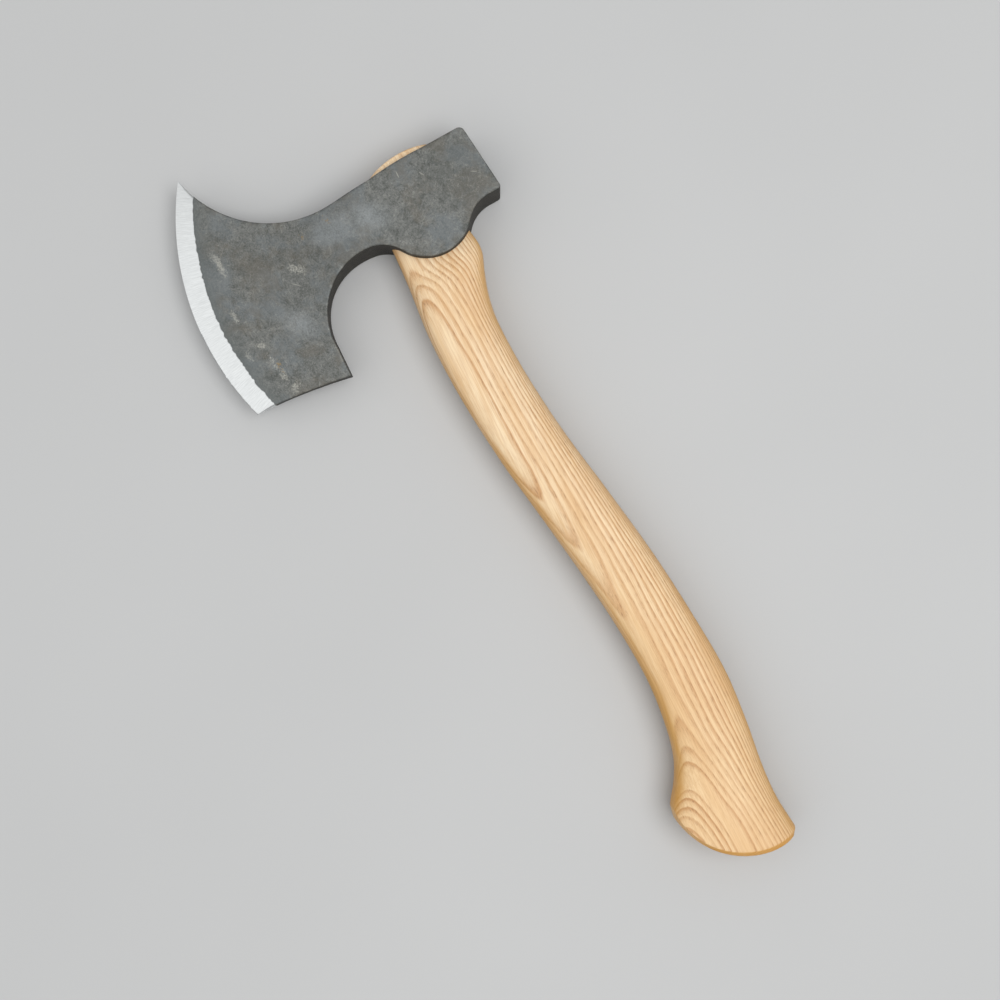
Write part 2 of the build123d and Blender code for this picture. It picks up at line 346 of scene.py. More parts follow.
def bevel_line(angles, seed):
    """The width of the ground bevel at angles round the edge arc."""
    toe, heel = edge_angle(TOE), edge_angle(HEEL)
    share = (angles - toe) / (heel - toe)
    trend = np.interp(share, BEVEL_SHARES, BEVEL_WIDTHS)
    along = flat(np.column_stack((angles * EDGE_RADIUS, np.zeros(len(angles)))))
    waves = 0.45 * noise_at(along, 4.4, seed) + 0.6 * noise_at(along, 1.7, seed + 5)
    return trend + waves * np.interp(share, WAVER_SHARES, WAVER_STRENGTHS)


def edge_angle(point):
    return math.atan2(point[1] - EDGE_CENTRE[1], point[0] - EDGE_CENTRE[0])


def polar(points):
    """Distances and angles of plan points from the centre of the edge arc."""
    away = np.asarray(points) - EDGE_CENTRE
    return np.hypot(away[:, 0], away[:, 1]), np.arctan2(away[:, 1], away[:, 0])


def distance_to_line(points, starts, ends):
    """How far plan points are from the nearest of some straight pieces."""
    nearest = np.full(len(points), 1e9)
    for a, b in zip(starts, ends):
        run = b - a
        share = np.clip(((points - a) @ run) / (run @ run), 0, 1)
        gap = points - a - share[:, None] * run
        nearest = np.minimum(nearest, np.hypot(gap[:, 0], gap[:, 1]))
    return nearest


def inside(points, outline):
    """Which plan points lie inside a closed outline."""
    x, y = points[:, 0], points[:, 1]
    hit = np.zeros(len(points), bool)
    for a, b in zip(outline, np.roll(outline, -1, 0)):
        if a[1] != b[1]:
            crossing = (a[1] > y) != (b[1] > y)
            hit ^= crossing & (x < a[0] + (y - a[1]) * (b[0] - a[0]) / (b[1] - a[1]))
    return hit


def head_plan(outline, seed):
    """Every plan point of the head's faces, outline first, and the triangles between them."""
    ahead, behind = np.roll(outline, -1, 0), np.roll(outline, 1, 0)
    run = (ahead - behind) / np.linalg.norm(ahead - behind, axis=1)[:, None]
    inward = np.column_stack((-run[:, 1], run[:, 0]))
    rings = np.vstack([outline + inward * d for d in RIM_RINGS])
    ring_depth = np.repeat(RIM_RINGS, len(outline))

    low, high = outline.min(0), outline.max(0)
    columns = np.arange(low[0], high[0], LATTICE_STEP)
    rows = np.arange(low[1], high[1], LATTICE_ROW_STEP)
    grid = np.array([(x + LATTICE_STEP / 2 * (j % 2), y) for j, y in enumerate(rows) for x in columns])
    grid = grid[inside(grid, outline)]

    angles = np.linspace(edge_angle(TOE) - 0.04, edge_angle(HEEL) + 0.04, RIDGE_POINTS)
    line_radius = EDGE_RADIUS - bevel_line(angles, seed)
    ridge = [EDGE_CENTRE + r * np.array((math.cos(a), math.sin(a))) for r, a in zip(line_radius, angles)]
    ridge = np.array(ridge)
    ridge = ridge[inside(ridge, outline)]

    loose = np.vstack((rings, grid, ridge))
    depth = distance_to_line(loose, outline, ahead)
    is_ring = np.arange(len(loose)) < len(rings)
    grid_depth, ridge_depth = np.full(len(grid), RIM_RINGS[-1] + 0.4), np.full(len(ridge), 0.2)
    wanted = np.concatenate((ring_depth * 0.97, grid_depth, ridge_depth))
    keep = (depth > wanted) & (~is_ring | inside(loose, outline))
    radius, angle = polar(loose)
    from_ridge = np.abs(radius - (EDGE_RADIUS - np.interp(angle, angles, EDGE_RADIUS - line_radius)))
    is_ridge = np.arange(len(loose)) >= len(rings) + len(grid)
    keep &= is_ridge | (from_ridge > RIDGE_CLEARANCE)

    points = np.vstack((outline, loose[keep]))
    loop = list(range(len(outline)))
    sides = [(i, (i + 1) % len(outline)) for i in loop]
    made = geometry.delaunay_2d_cdt([Vector(p) for p in points], sides, [loop], 1, 1e-6)
    return np.array([v[:] for v in made[0]]), [tuple(f) for f in made[2]]


def face_height(points, outline, on_edge, seed):
    """Half thickness at plan points: forged, ground near the edge, and rounded over at the rim."""
    radius, angle = polar(points)
    width = bevel_line(angle, seed)
    ridge = EDGE_CENTRE + (EDGE_RADIUS - width)[:, None] * np.column_stack((np.cos(angle), np.sin(angle)))
    forged = blade_half_thickness(radius) + forged_relief(points, seed)
    at_ridge = blade_half_thickness(EDGE_RADIUS - width) + 0.4 * forged_relief(ridge, seed)
    ground = at_ridge * (EDGE_RADIUS - radius) / width
    near = np.clip((radius - EDGE_RADIUS + width + CALM_BAND) / CALM_BAND, 0, 1)
    forged -= forged_relief(points, seed) * 0.6 * near
    height = np.where(radius > EDGE_RADIUS - width, np.maximum(ground, 0), forged)

    blunt = ~(on_edge & np.roll(on_edge, -1))
    rim = distance_to_line(points, outline[blunt], np.roll(outline, -1, 0)[blunt])
    rounding = np.minimum(RIM_RADIUS, 0.45 * height)
    short = np.clip(rounding - rim, 0, None)
    return height - (rounding - np.sqrt(np.maximum(rounding**2 - short**2, 0)))


def head_shell():
    """The solid head without its eye: two lifted faces and the wall between them."""
    outline, on_edge = head_outline()
    count = len(outline)
    points, triangles = head_plan(outline, UPPER_SEED)
    sharp = np.zeros(len(points), bool)
    sharp[:count] = on_edge
    upper = face_height(points, outline, on_edge, UPPER_SEED)
    lower = face_height(points, outline, on_edge, LOWER_SEED)
    upper[sharp], lower[sharp] = 0, 0

    total = len(points)
    vertices = [(x, y, MID_Z + z) for (x, y), z in zip(points, upper)]
    vertices += [(x, y, MID_Z - z) for (x, y), z in zip(points, lower)]
    faces = triangles + [tuple(total + i for i in reversed(f)) for f in triangles]
    rows = [np.arange(count)]
    for k in range(1, WALL_ROWS):
        share = k / WALL_ROWS
        start = len(vertices)
        height = upper[:count] * (1 - share) - lower[:count] * share
        vertices += [(x, y, MID_Z + z) for (x, y), z in zip(outline, height)]
        rows.append(start + np.arange(count))
    rows.append(total + np.arange(count))
    for i in range(count):
        j = (i + 1) % count
        if not (on_edge[i] and on_edge[j]):
            faces += [(a[j], a[i], b[i], b[j]) for a, b in zip(rows, rows[1:])]
    return vertices, faces


# ---- Handle surface ----
def handle_lines():
    """The belly, back and thickness at every quarter of a millimetre along the handle."""
    x = np.linspace(BELLY_LINE[-1][0], BELLY_LINE[0][0], LINE_SAMPLES)
    return x, [np.array([smooth(line, s) for s in x]) for line in (BELLY_LINE, BACK_LINE, THICKNESS_LINE)]


def handle_side(x, angle, lines):
    """Points on the handle's side at stations x and angles round it."""
    belly, back, thickness = (np.interp(x, lines[0], values) for values in lines[1])
    across = np.sign(np.cos(angle)) * np.abs(np.cos(angle)) ** (2 / SECTION_POWER)
    up = np.sign(np.sin(angle)) * np.abs(np.sin(angle)) ** (2 / SECTION_POWER)
    y = (belly + back) / 2 + (belly - back) / 2 * across
    return np.stack((x + 0 * y, y, MID_Z + thickness / 2 * up), -1)


def knob_face(along, z):
    """Points on the arc at the end of the knob, from how far round it they are and their height."""
    x = END_CENTRE[0] - END_RADIUS * np.cos(along / END_RADIUS)
    y = END_CENTRE[1] + END_RADIUS * np.sin(along / END_RADIUS)
    return np.stack((x, y, z), -1)


def knob_rim(angle, lines):
    """Where each line along the handle meets the arc at the end of the knob."""
    near, far = np.full(len(angle), BEND_START_X), np.full(len(angle), PAST_KNOB_X)
    for _ in range(40):
        middle = (near + far) / 2
        point = handle_side(middle, angle, lines)
        away = np.hypot(point[:, 0] - END_CENTRE[0], point[:, 1] - END_CENTRE[1])
        within = (middle > END_CENTRE[0]) | (away < END_RADIUS)
        near, far = np.where(within, middle, near), np.where(within, far, middle)
    return near


def bent_corner(a, corner, b, steps=5):
    """Rows of points that turn a corner softly."""
    shares = np.linspace(0, 1, steps)
    return [(1 - t) ** 2 * a + 2 * t * (1 - t) * corner + t * t * b for t in shares]


def handle_body():
    """Rows of points down the handle, over the chamfer and across the end of the knob."""
    lines = handle_lines()
    angle = np.linspace(0, math.tau, AROUND, endpoint=False)
    stations = np.linspace(HANDLE_TOP_X, BEND_START_X, STRAIGHT_STATIONS)
    rows = [handle_side(np.full(AROUND, x), angle, lines) for x in stations]
    rim_x = knob_rim(angle, lines)
    slope = np.linalg.norm(handle_side(rim_x + 1, angle, lines) - handle_side(rim_x, angle, lines), axis=1)
    chamfer_x = rim_x + END_CHAMFER / slope
    soft_x = rim_x + (END_CHAMFER + RIM_SOFTNESS) / slope
    for share in np.linspace(0, 1, BENT_STATIONS)[1:]:
        rows.append(handle_side(BEND_START_X + (soft_x - BEND_START_X) * share, angle, lines))

    rim = handle_side(rim_x, angle, lines)
    along = END_RADIUS * np.arctan2(rim[:, 1] - END_CENTRE[1], END_CENTRE[0] - rim[:, 0])
    unrolled = np.column_stack((along, rim[:, 2]))
    run = np.roll(unrolled, -1, 0) - np.roll(unrolled, 1, 0)
    run /= np.linalg.norm(run, axis=1)[:, None]
    inward = np.column_stack((-run[:, 1], run[:, 0]))
    start = handle_side(chamfer_x, angle, lines)
    end_plan = unrolled + inward * END_CHAMFER
    soft_plan = unrolled + inward * (END_CHAMFER + RIM_SOFTNESS)
    end, soft = knob_face(*end_plan.T), knob_face(*soft_plan.T)
    rows += bent_corner(rows.pop(), start, start + (end - start) * STRIP_START)
    rows += [start + (end - start) * share for share in STRIP_ROWS]
    rows += bent_corner(start + (end - start) * STRIP_END, end, soft)
    middle = soft_plan.mean(0)
    for share in np.linspace(1, 0, 20)[1:-1]:
        rows.append(knob_face(*(middle + (soft_plan - middle) * share).T))
    return rows, knob_face(*middle)


def tube(rows, first, last):
    """Vertices and faces that join rows of points into a closed tube with a point at each end."""
    around = len(rows[0])
    vertices = [tuple(p) for row in rows for p in row] + [tuple(first), tuple(last)]
    faces = []
    for r in range(len(rows) - 1):
        for i in range(around):
            j = (i + 1) % around
            faces.append((r * around + i, r * around + j, (r + 1) * around + j, (r + 1) * around + i))
    top, end = len(vertices) - 2, len(vertices) - 1
    base = (len(rows) - 1) * around
    for i in range(around):
        j = (i + 1) % around
        faces.append((j, i, top))
        faces.append((base + i, base + j, end))
    return vertices, faces


def slot_sections(clearance):
    """A function that places points round the eye's slot at a station along it, and how many there are."""
    turn = np.linspace(-math.pi / 2, math.pi / 2, ROUND_POINTS)
    run = np.linspace(1, -1, STRAIGHT_POINTS + 2)[1:-1]
    side = np.concatenate((np.ones(ROUND_POINTS), run, -np.ones(ROUND_POINTS), -run))
    c = np.concatenate((np.cos(turn), 0 * run, -np.cos(turn), 0 * run))
    s = np.concatenate((np.sin(turn), 0 * run + 1, -np.sin(turn), 0 * run - 1))
    along = np.array((math.cos(EYE_TILT), math.sin(EYE_TILT)))
    across = np.array((-along[1], along[0]))

    def place(station, scale=1.0, inset=0.0):
        share = np.clip((station - EYE_WAIST) / (EYE_TOP - EYE_WAIST), 0, 1.3)
        length = EYE_LENGTH + (EYE_TOP_LENGTH - EYE_LENGTH) * share - 2 * clearance
        width = EYE_WIDTH + (EYE_TOP_WIDTH - EYE_WIDTH) * share - 2 * clearance
        u = (side * (length - width) / 2 + c * (width / 2 - inset)) * scale
        z = s * (width / 2 - inset) * scale
        xy = np.array((0, EYE_CENTRE_Y)) + station[:, None] * along + u[:, None] * across
        return np.column_stack((xy, MID_Z + z))

    return place, len(side)


def eye_rows():
    """Rows of points down the eye, run past both ends of the head."""
    place, count = slot_sections(0.0)
    rows = [place(np.full(count, station)) for station in np.linspace(EYE_BOTTOM, PAST_EYE, 40)]
    return rows, rows[0].mean(0), rows[-1].mean(0)


def slot_rows(grow):
    """Rows of points up the tongue in the eye and over its domed crown, and the middles of both ends."""
    place, count = slot_sections(EYE_CLEARANCE)

    def on_dome(scale=1.0, inset=0.0):
        station = np.full(count, EYE_TOP)
        centre = np.array((*CROWN_CENTRE, MID_Z))
        for _ in range(25):
            gap = np.linalg.norm(place(station, scale, inset) - centre, axis=1) - CROWN_RADIUS - grow
            station = station - gap
        return station

    edge = on_dome()
    low = edge - CROWN_ROUNDING
    rows = [place(EYE_FOOT + (low - EYE_FOOT) * share) for share in np.linspace(0, 1, 34)]
    inner = place(on_dome(inset=CROWN_ROUNDING), inset=CROWN_ROUNDING)
    rows += bent_corner(rows.pop(), place(edge), inner, 6)
    for scale in np.linspace(1, 0, 16)[1:-1]:
        rows.append(place(on_dome(scale, CROWN_ROUNDING), scale, CROWN_ROUNDING))
    return rows, rows[0].mean(0), rows[-1].mean(0)


def wedge_slab(half_tops, profile_x, reach, grow):
    """A wedge as corners and faces: half thicknesses at stations, reaching as far as reach either way."""
    count = len(profile_x)
    profile = list(zip(profile_x, np.array(half_tops) + grow))
    vertices = [(x, y, z * side) for y in (-reach, reach) for side in (1, -1) for x, z in profile]
    faces = []
    for k in range(count - 1):
        for a, b in ((0, 2), (3, 1), (1, 0), (2, 3)):
            faces.append((a * count + k, a * count + k + 1, b * count + k + 1, b * count + k))
    for k in (0, count - 1):
        faces.append((k, count + k, 3 * count + k, 2 * count + k))
    return vertices, faces


# ---- Meshes ----
def new_mesh(name, vertices, faces, place=Matrix.Identity(4)):
    """A linked mesh object from millimetre vertices, with doubles merged and faces turned outward."""
    mesh = bpy.data.meshes.new(name)
    mesh.from_pydata([place @ Vector(v) * MM for v in vertices], [], faces)
    work = bmesh.new()
    work.from_mesh(mesh)
    bmesh.ops.remove_doubles(work, verts=work.verts, dist=1e-7)
    bmesh.ops.dissolve_degenerate(work, edges=work.edges, dist=1e-8)
    bmesh.ops.recalc_face_normals(work, faces=work.faces)
    work.to_mesh(mesh)
    work.free()
    made = bpy.data.objects.new(name, mesh)
    bpy.context.scene.collection.objects.link(made)
    return made


def combine(piece, other, operation):
    """Cuts, joins or trims a piece with another."""
    step = piece.modifiers.new(operation, "BOOLEAN")
    step.operation, step.object, step.solver = operation, other, "MANIFOLD"
    graph = bpy.context.evaluated_depsgraph_get()
    mesh = bpy.data.meshes.new_from_object(piece.evaluated_get(graph))
    piece.modifiers.clear()
    piece.data = mesh


def discard(*tools):
    for tool in tools:
        bpy.data.objects.remove(tool)


def finish_mesh(piece, crease):
    """Smooth shading with sharp edges where faces meet at more than the crease angle."""
    mesh = piece.data
    mesh.name = piece.name
    mesh.polygons.foreach_set("use_smooth", np.ones(len(mesh.polygons), bool))
    mesh.set_sharp_from_angle(angle=math.radians(crease))


def vertex_places(piece):
    found = np.empty(len(piece.data.vertices) * 3)
    piece.data.vertices.foreach_get("co", found)
    return found.reshape(-1, 3) / MM


def vertex_normals(piece):
    return np.array([v.vector[:] for v in piece.data.vertex_normals])


def store(piece, name, values):
    layer = piece.data.attributes.new(name, "FLOAT", "POINT")
    layer.data.foreach_set("value", np.asarray(values, np.float32))


def make_head_mesh(eye):
    """The head with its eye, and the measures that its material reads."""
    piece = new_mesh("head_forged", *head_shell())
    combine(piece, eye, "DIFFERENCE")
    finish_mesh(piece, HEAD_CREASE)
    places = vertex_places(piece)
    radius, angle = polar(places[:, :2])
    width = np.where(places[:, 2] > MID_Z, bevel_line(angle, UPPER_SEED), bevel_line(angle, LOWER_SEED))
    store(piece, "ground", radius - EDGE_RADIUS + width)
    store(piece, "sweep", angle * EDGE_RADIUS)
    outline, _ = head_outline()
    rim = distance_to_line(places[:, :2], outline, np.roll(outline, -1, 0))
    store(piece, "rim", np.clip(1 - rim / RIM_FADE, 0, 1))
    store(piece, "wall", 1 - np.abs(vertex_normals(piece)[:, 2]))
    return piece


def make_handle_mesh(head, tongue, slots):
    """The handle with its tongue and slots, and the measures that its material reads."""
    rows, end = handle_body()
    piece = new_mesh("handle_shaped", *tube(rows, rows[0].mean(0), end))
    combine(piece, head, "DIFFERENCE")
    combine(piece, tongue, "UNION")
    for slot in slots:
        combine(piece, slot, "DIFFERENCE")
    finish_mesh(piece, HANDLE_CREASE)
    normals = vertex_normals(piece)
    # Painted shade: where the normal turns away from Z, the sides are marked for a painted darker orange,
    # stored as 'tone'.
    side = 1 - np.abs(normals[:, 2])
    x = vertex_places(piece)[:, 0]
    belly_shade, back_shade = np.interp(x, *BELLY_PAINTED_SHADE), np.interp(x, *BACK_PAINTED_SHADE)
    store(piece, "tone", side * np.where(normals[:, 1] > 0, belly_shade, back_shade))
    store(piece, "end", np.where(x < BEND_START_X, np.abs(normals[:, 0]), 0))
    return piece


def wedge_profiles():
    """Stations and half thicknesses of the wooden and the steel wedge."""
    wooden_x = (WEDGE_START, WEDGE_START - WOODEN_LENGTH)
    wooden_half = (WOODEN_TOP / 2, WOODEN_TIP / 2)
    steel_x, steel_half = [0.0], [STEEL_TOP / 2]
    for share in BARB_SHARES:
        half = (STEEL_TOP + (STEEL_TIP - STEEL_TOP) * share) / 2
        steel_x += [-STEEL_LENGTH * share, -STEEL_LENGTH * share - BARB_STEP]
        steel_half += [half + BARB_DEPTH, half]
    steel_x.append(-STEEL_LENGTH)
    steel_half.append(STEEL_TIP / 2)
    return (wooden_half, wooden_x), (steel_half, steel_x)


def make_wedges():
    """The two wedges, and the slightly larger slots they leave in the tongue."""
    wooden, steel = wedge_profiles()
    wooden_place = Matrix.Translation((0, EYE_CENTRE_Y, MID_Z))
    steel_place = Matrix.Translation((WEDGE_START, STEEL_Y, MID_Z)) @ Matrix.Rotation(STEEL_TURN, 4, "X")
    wooden_piece = new_mesh("wooden_wedge_driven", *wedge_slab(*wooden, EYE_TOP_LENGTH, 0), wooden_place)
    wooden_slot = new_mesh("wooden_slot", *wedge_slab(*wooden, EYE_TOP_LENGTH, SLOT_CLEARANCE), wooden_place)
    steel_piece = new_mesh("steel_wedge_driven", *wedge_slab(*steel, STEEL_WIDTH / 2, 0), steel_place)
    reach = STEEL_WIDTH / 2 + SLOT_CLEARANCE
    steel_slot = new_mesh("steel_slot", *wedge_slab(*steel, reach, SLOT_CLEARANCE), steel_place)
    proud = new_mesh("proud_crown", *tube(*slot_rows(WOODEN_PROUD)))
    sunk = new_mesh("sunk_crown", *tube(*slot_rows(-STEEL_SUNK)))
    combine(wooden_piece, proud, "INTERSECT")
    combine(wooden_piece, steel_slot, "DIFFERENCE")
    combine(steel_piece, sunk, "INTERSECT")
    discard(proud, sunk)
    finish_mesh(wooden_piece, WEDGE_CREASE)
    finish_mesh(steel_piece, WEDGE_CREASE)
    return wooden_piece, steel_piece, wooden_slot, steel_slot


# ---- Materials ----
def feed(tree, socket, value):
    """Links a socket to another, or sets it."""
    if isinstance(value, bpy.types.NodeSocket):
        tree.links.new(value, socket)
    else:
        socket.default_value = value


def add(tree, kind, sockets, **settings):
    """A new node with its sockets linked or set. Gives its first output."""
    made = tree.nodes.new("ShaderNode" + kind)
    for name, value in settings.items():
        setattr(made, name, value)
    for key, value in sockets.items():
        feed(tree, made.inputs[key], value)
    return made.outputs[0]


def calc(tree, operation, a, b=0.0):
    return add(tree, "Math", {0: a, 1: b}, operation=operation)


def ramp(tree, factor, stops, smoothly=False):
    """A ramp from positions to greys or colours."""
    add(tree, "ValToRGB", {"Fac": factor})
    made = tree.nodes[-1]
    scale = made.color_ramp
    scale.interpolation = "EASE" if smoothly else "LINEAR"
    while len(scale.elements) < len(stops):
        scale.elements.new(0.5)
    for element, (position, value) in zip(scale.elements, stops):
        element.position = position
        element.color = (*value, 1) if isinstance(value, tuple) else (value, value, value, 1)
    return made.outputs[0]


def blend(tree, factor, a, b):
    """Two colours mixed."""
    made = tree.nodes.new("ShaderNodeMix")
    made.data_type = "RGBA"
    for key, value in ((0, factor), (6, a), (7, b)):
        feed(tree, made.inputs[key], (*value, 1) if isinstance(value, tuple) else value)
    return made.outputs[2]


def stretched(tree, place, factors):
    """Coordinates scaled by a factor for each axis."""
    return add(tree, "VectorMath", {0: place, 1: factors}, operation="MULTIPLY")


def cloud(tree, place, factors, detail=3.0, roughness=0.55, distortion=0.0):
    """Noise from 0 to 1 whose features are one over the factors long, in millimetres."""
    where = stretched(tree, place, factors)
    sockets = {"Vector": where, "Scale": 1.0, "Detail": detail, "Roughness": roughness}
    return add(tree, "TexNoise", {**sockets, "Distortion": distortion})


def attribute(tree, name):
    made = tree.nodes.new("ShaderNodeAttribute")
    made.attribute_name = name
    return made.outputs["Fac"]


def new_material(name):
    """A material, its node tree, its shader and coordinates in millimetres."""
    material = bpy.data.materials.new(name)
    material.use_nodes = True
    tree = material.node_tree
    shader = tree.nodes["Principled BSDF"]
    coordinates = tree.nodes.new("ShaderNodeTexCoord").outputs["Object"]
    place = add(tree, "VectorMath", {0: coordinates, "Scale": 1 / MM}, operation="SCALE")
    return material, tree, shader, place


def plug(tree, shader, **sockets):
    for name, value in sockets.items():
        tree.links.new(value, shader.inputs[name.replace("_", " ")])


def bump(tree, height, distance, strength):
    return add(tree, "Bump", {"Height": height, "Distance": distance * MM, "Strength": strength})


def growth_rings(tree, place, pith, spacing, start):
    """How many rings out from a start each point of the wood is."""
    drift = calc(tree, "SUBTRACT", cloud(tree, place, (0.011, 0.035, 0.035), detail=1.5), 0.5)
    ripple = calc(tree, "SUBTRACT", cloud(tree, place, (0.05, 0.22, 0.22), detail=2.0), 0.5)
    add(tree, "SeparateXYZ", {"Vector": place})
    x, y, z = tree.nodes[-1].outputs
    y = calc(tree, "ADD", calc(tree, "SUBTRACT", y, pith[0]), calc(tree, "MULTIPLY", x, RING_SLOPE))
    z = calc(tree, "SUBTRACT", z, pith[1])
    square = calc(tree, "ADD", calc(tree, "MULTIPLY", y, y), calc(tree, "MULTIPLY", z, z))
    depth = calc(tree, "SQRT", square)
    depth = calc(tree, "ADD", depth, calc(tree, "MULTIPLY", drift, 1.8))
    depth = calc(tree, "ADD", depth, calc(tree, "MULTIPLY", ripple, 0.4))
    past = calc(tree, "SUBTRACT", depth, WIDE_RING_START)
    extra = calc(tree, "MINIMUM", calc(tree, "MAXIMUM", past, 0.0), WIDE_RING_EXTRA)
    depth = calc(tree, "SUBTRACT", calc(tree, "SUBTRACT", depth, extra), start)
    return calc(tree, "DIVIDE", depth, spacing)


def wood_material(name, near_head, near_knob, line, pith, spacing, start):
    """Solid wood: growth rings, with pores and fibres along X, and a tone that changes along X."""
    material, tree, shader, place = new_material(name)
    rings = growth_rings(tree, place, pith, spacing, start)
    share = calc(tree, "FRACT", rings)
    ring = calc(tree, "FLOOR", rings)
    odd = add(tree, "TexWhiteNoise", {"W": ring}, noise_dimensions="1D")
    strength = ramp(tree, odd, [(0, 0.5), (1, 1.0)])
    ring_stops = [(0, 0.5), (0.08, 1.0), (0.24, 0.75), (0.42, 0.3), (0.7, 0.04), (0.93, 0.0), (1, 0.5)]
    early = ramp(tree, share, ring_stops)
    early = calc(tree, "MULTIPLY", early, strength)
    add(tree, "SeparateXYZ", {"Vector": place})
    along = calc(tree, "MULTIPLY", tree.nodes[-1].outputs["X"], -1 / KNOB_DISTANCE)
    early = calc(tree, "MULTIPLY", early, ramp(tree, along, [(0.0, 0.35), (0.04, 1.0)]))

    patch = cloud(tree, place, (0.012, 0.07, 0.07), detail=3.0)
    pale = blend(tree, ramp(tree, along, [(0.25, 0.0), (0.9, 1.0)], True), near_head, near_knob)
    base = blend(tree, ramp(tree, patch, [(0.42, 0.0), (0.68, 0.9)]), pale, WOOD_TAN)
    streaks = cloud(tree, place, (0.018, 0.55, 0.55), detail=4.0, roughness=0.65)
    base = blend(tree, ramp(tree, streaks, [(0.48, 0.0), (0.66, 0.5)]), base, WOOD_TAN)
    fibres = cloud(tree, place, (0.04, 1.7, 1.7), detail=4.0, roughness=0.7)
    base = blend(tree, ramp(tree, fibres, [(0.4, 0.0), (0.7, 0.42)]), base, line)
    base = blend(tree, early, base, line)
    pores = cloud(tree, place, (0.22, 3.2, 3.2), detail=2.0, roughness=0.6)
    pores = ramp(tree, pores, [(0.54, 0.0), (0.64, 1.0)])
    porous = ramp(tree, early, [(0.0, 0.12), (0.6, 1.0)])
    pores = calc(tree, "MULTIPLY", pores, porous)
    base = blend(tree, calc(tree, "MULTIPLY", pores, 0.6), base, WOOD_PORE)
    return material, tree, shader, place, base, pores, fibres


def handle_material():
    tones = WOOD_CREAM, WOOD_HONEY, WOOD_LINE
    made = wood_material("ash_oiled", *tones, RING_PITH, RING_SPACING, RING_START)
    material, tree, shader, place, base, pores, fibres = made
    tone, end = attribute(tree, "tone"), attribute(tree, "end")
    wear = cloud(tree, place, (0.02, 0.08, 0.08), detail=4.0)
    patchy = ramp(tree, wear, [(0.35, 0.5), (0.62, 1.0)])
    # Painted shade: the belly and the back are painted darker orange, patchily, where they face sideways.
    painted_side_shade = calc(tree, "MULTIPLY", ramp(tree, tone, [(0.04, 0.0), (0.5, 1.0)], True), patchy)
    base = blend(tree, calc(tree, "MULTIPLY", painted_side_shade, 0.8), base, WOOD_SHADE_ORANGE)
    tint = ramp(tree, end, [(0.3, 0.0), (0.55, 0.6), (0.8, 0.6), (0.97, 0.3)])
    base = blend(tree, tint, base, WOOD_END)
    plug(tree, shader, Base_Color=base)
    gloss = ramp(tree, wear, [(0.3, 0.42), (0.7, 0.58)])
    plug(tree, shader, Roughness=gloss)
    height = calc(tree, "SUBTRACT", calc(tree, "MULTIPLY", fibres, 0.5), pores)
    plug(tree, shader, Normal=bump(tree, height, 0.1, 0.4))
    shader.inputs["Specular IOR Level"].default_value = 0.4
    return material


def wooden_wedge_material():
    tones = WEDGE_BROWN, WEDGE_BROWN, WEDGE_LINE
    made = wood_material("wedge_hardwood", *tones, WEDGE_PITH, WEDGE_RING_SPACING, 0.0)
    material, tree, shader, place, base, pores, _ = made
    dents = cloud(tree, place, (0.4, 0.4, 0.4), detail=3.0)
    base = blend(tree, ramp(tree, dents, [(0.45, 0.0), (0.7, 0.5)]), base, WEDGE_LINE)
    plug(tree, shader, Base_Color=base)
    plug(tree, shader, Roughness=ramp(tree, dents, [(0.3, 0.55), (0.7, 0.75)]))
    height = calc(tree, "SUBTRACT", calc(tree, "MULTIPLY", dents, 1.6), pores)
    plug(tree, shader, Normal=bump(tree, height, 0.2, 0.6))
    return material


def steel_wedge_material():
    material, tree, shader, place = new_material("wedge_mild_steel")
    rust = cloud(tree, place, (0.5, 0.5, 0.5), detail=5.0, roughness=0.7)
    fine = cloud(tree, place, (2.5, 2.5, 2.5), detail=4.0)
    spots = ramp(tree, rust, [(0.5, 0.0), (0.62, 1.0)])
    base = blend(tree, fine, (0.20, 0.20, 0.20), (0.30, 0.295, 0.285))
    base = blend(tree, calc(tree, "MULTIPLY", spots, 0.7), base, (0.16, 0.075, 0.03))
    plug(tree, shader, Base_Color=base)
    plug(tree, shader, Roughness=ramp(tree, spots, [(0, 0.42), (1, 0.8)]))
    plug(tree, shader, Metallic=ramp(tree, spots, [(0, 0.9), (1, 0.2)]))
    plug(tree, shader, Normal=bump(tree, calc(tree, "ADD", rust, fine), 0.1, 0.6))
    return material


def place_mask(tree, place, spots):
    """1 in the middle of each long spot on the cheek, falling to 0 at its rim."""
    total = None
    for x, y, length, width, turn in spots:
        moved = add(tree, "VectorMath", {0: place, 1: (x, y, 0)}, operation="SUBTRACT")
        spin = {"Vector": moved, "Angle": -math.radians(turn)}
        turned = add(tree, "VectorRotate", spin, rotation_type="Z_AXIS")
        scaled = stretched(tree, turned, (1 / length, 1 / width, 0))
        tree.nodes.new("ShaderNodeVectorMath").operation = "LENGTH"
        far = tree.nodes[-1]
        tree.links.new(scaled, far.inputs[0])
        spot = ramp(tree, far.outputs["Value"], [(0.0, 1.0), (1.0, 0.0)], True)
        total = spot if total is None else calc(tree, "MAXIMUM", total, spot)
    return total


def ground_steel(tree, ground, sweep):
    """Grinding lines that run across the bevel, towards the edge, and their colour."""
    x, y = calc(tree, "MULTIPLY", sweep, 2.4), calc(tree, "MULTIPLY", ground, 0.14)
    across = add(tree, "CombineXYZ", {"X": x, "Y": y})
    lines = add(tree, "TexNoise", {"Vector": across, "Scale": 1.0, "Detail": 5.0, "Roughness": 0.72})
    bright = ramp(tree, lines, [(0.3, 0.0), (0.68, 1.0)])
    return lines, blend(tree, bright, STEEL_GROUND_DARK, STEEL_GROUND_LIGHT)


